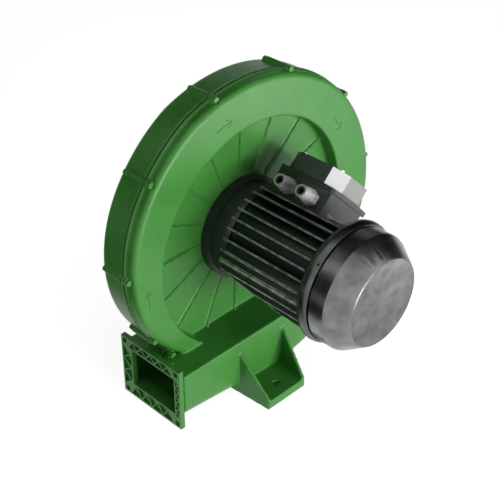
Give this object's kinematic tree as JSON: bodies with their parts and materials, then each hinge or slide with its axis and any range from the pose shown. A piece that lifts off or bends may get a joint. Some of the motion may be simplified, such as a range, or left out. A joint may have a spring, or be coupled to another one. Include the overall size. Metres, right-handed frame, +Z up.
{
  "type": "centrifugal blower",
  "caption": "Centrifugal blower with a scroll housing, a side outlet duct, feet and a finned flange motor with a terminal box.",
  "frame": {"origin": "centre of the inlet flange's face, on the shaft's axis", "axes": "+Y along the shaft, out of the inlet and away from the motor; +Z up from the feet; +X to the side away from the outlet"},
  "size_m": [0.4952, 0.3782, 0.4855],
  "materials": {
    "housing_paint": "semi-gloss green enamel on castings",
    "gasket_fibre": "dark fibre sheet",
    "zinc_steel": "zinc-plated",
    "impeller_metal": "mill finish",
    "seal_rubber": "matte",
    "machined_steel": "ground",
    "cage_brass": "machined",
    "core_steel": "stacked laminations",
    "cast_aluminium": "as cast",
    "winding_copper": "varnished enamelled copper wire",
    "motor_paint": "satin dark grey-green enamel",
    "cowl_paint": "satin grey enamel",
    "black_screws": "black oxide",
    "fan_plastic": "moulded",
    "board_plastic": "phenolic",
    "gland_metal": "nickel-plated, dulled"
  },
  "bodies": {
    "housing_and_motor": {"front_housing": "housing_paint", "rear_housing": "housing_paint", "housing_gasket": "gasket_fibre", "housing_bolts": "zinc_steel", "housing_nuts": "zinc_steel", "outlet_flange": "housing_paint", "outlet_flange_screws": "zinc_steel", "inlet_flange": "housing_paint", "inlet_screws": "zinc_steel", "shaft_seal": "seal_rubber", "stator_core": "core_steel", "stator_windings": "winding_copper", "motor_frame": "motor_paint", "drive_end_shield": "motor_paint", "fan_end_shield": "motor_paint", "shield_screws": "zinc_steel", "flange_bolts": "zinc_steel", "drive_bearing_outer_ring": "machined_steel", "fan_bearing_outer_ring": "machined_steel", "wave_spring": "machined_steel", "cowl_ring": "cowl_paint", "fan_cowl": "cowl_paint", "cowl_screws": "black_screws", "terminal_box_base": "motor_paint", "terminal_box_gasket": "gasket_fibre", "terminal_box_lid": "cowl_paint", "lid_screws": "zinc_steel", "terminal_board": "board_plastic", "terminal_studs": "cage_brass", "terminal_links": "cage_brass", "earth_screw": "cage_brass", "gland_bodies": "gland_metal", "gland_nuts": "gland_metal", "gland_seals": "seal_rubber"},
    "rotor": {"impeller_backplate": "impeller_metal", "impeller_blades": "impeller_metal", "impeller_shroud": "impeller_metal", "impeller_hub": "impeller_metal", "impeller_rivets": "impeller_metal", "impeller_key": "zinc_steel", "impeller_washer": "zinc_steel", "impeller_screw": "zinc_steel", "motor_shaft": "machined_steel", "rotor_core": "core_steel", "rotor_end_rings": "cast_aluminium", "drive_bearing_inner_ring": "machined_steel", "fan_bearing_inner_ring": "machined_steel", "cooling_fan": "fan_plastic", "fan_circlip": "zinc_steel"},
    "drive_ball_set": {"drive_bearing_balls": "machined_steel", "drive_bearing_cage": "cage_brass"},
    "fan_ball_set": {"fan_bearing_balls": "machined_steel", "fan_bearing_cage": "cage_brass"}
  },
  "joints": [
    {"name": "rotor_spin", "type": "hinge", "parent": "housing_and_motor", "child": "rotor", "pos_m": [0, -0.1, 0], "axis": [0, 1, 0], "continuous": true},
    {"name": "drive_ball_set_roll", "type": "hinge", "parent": "housing_and_motor", "child": "drive_ball_set", "pos_m": [0, -0.0875, 0], "axis": [0, 1, 0], "continuous": true},
    {"name": "fan_ball_set_roll", "type": "hinge", "parent": "housing_and_motor", "child": "fan_ball_set", "pos_m": [0, -0.2475, 0], "axis": [0, 1, 0], "continuous": true}
  ],
  "couplings": [
    {"joint": "drive_ball_set_roll", "follows": "rotor_spin", "ratio": 0.3987},
    {"joint": "fan_ball_set_roll", "follows": "rotor_spin", "ratio": 0.3987}
  ]
}
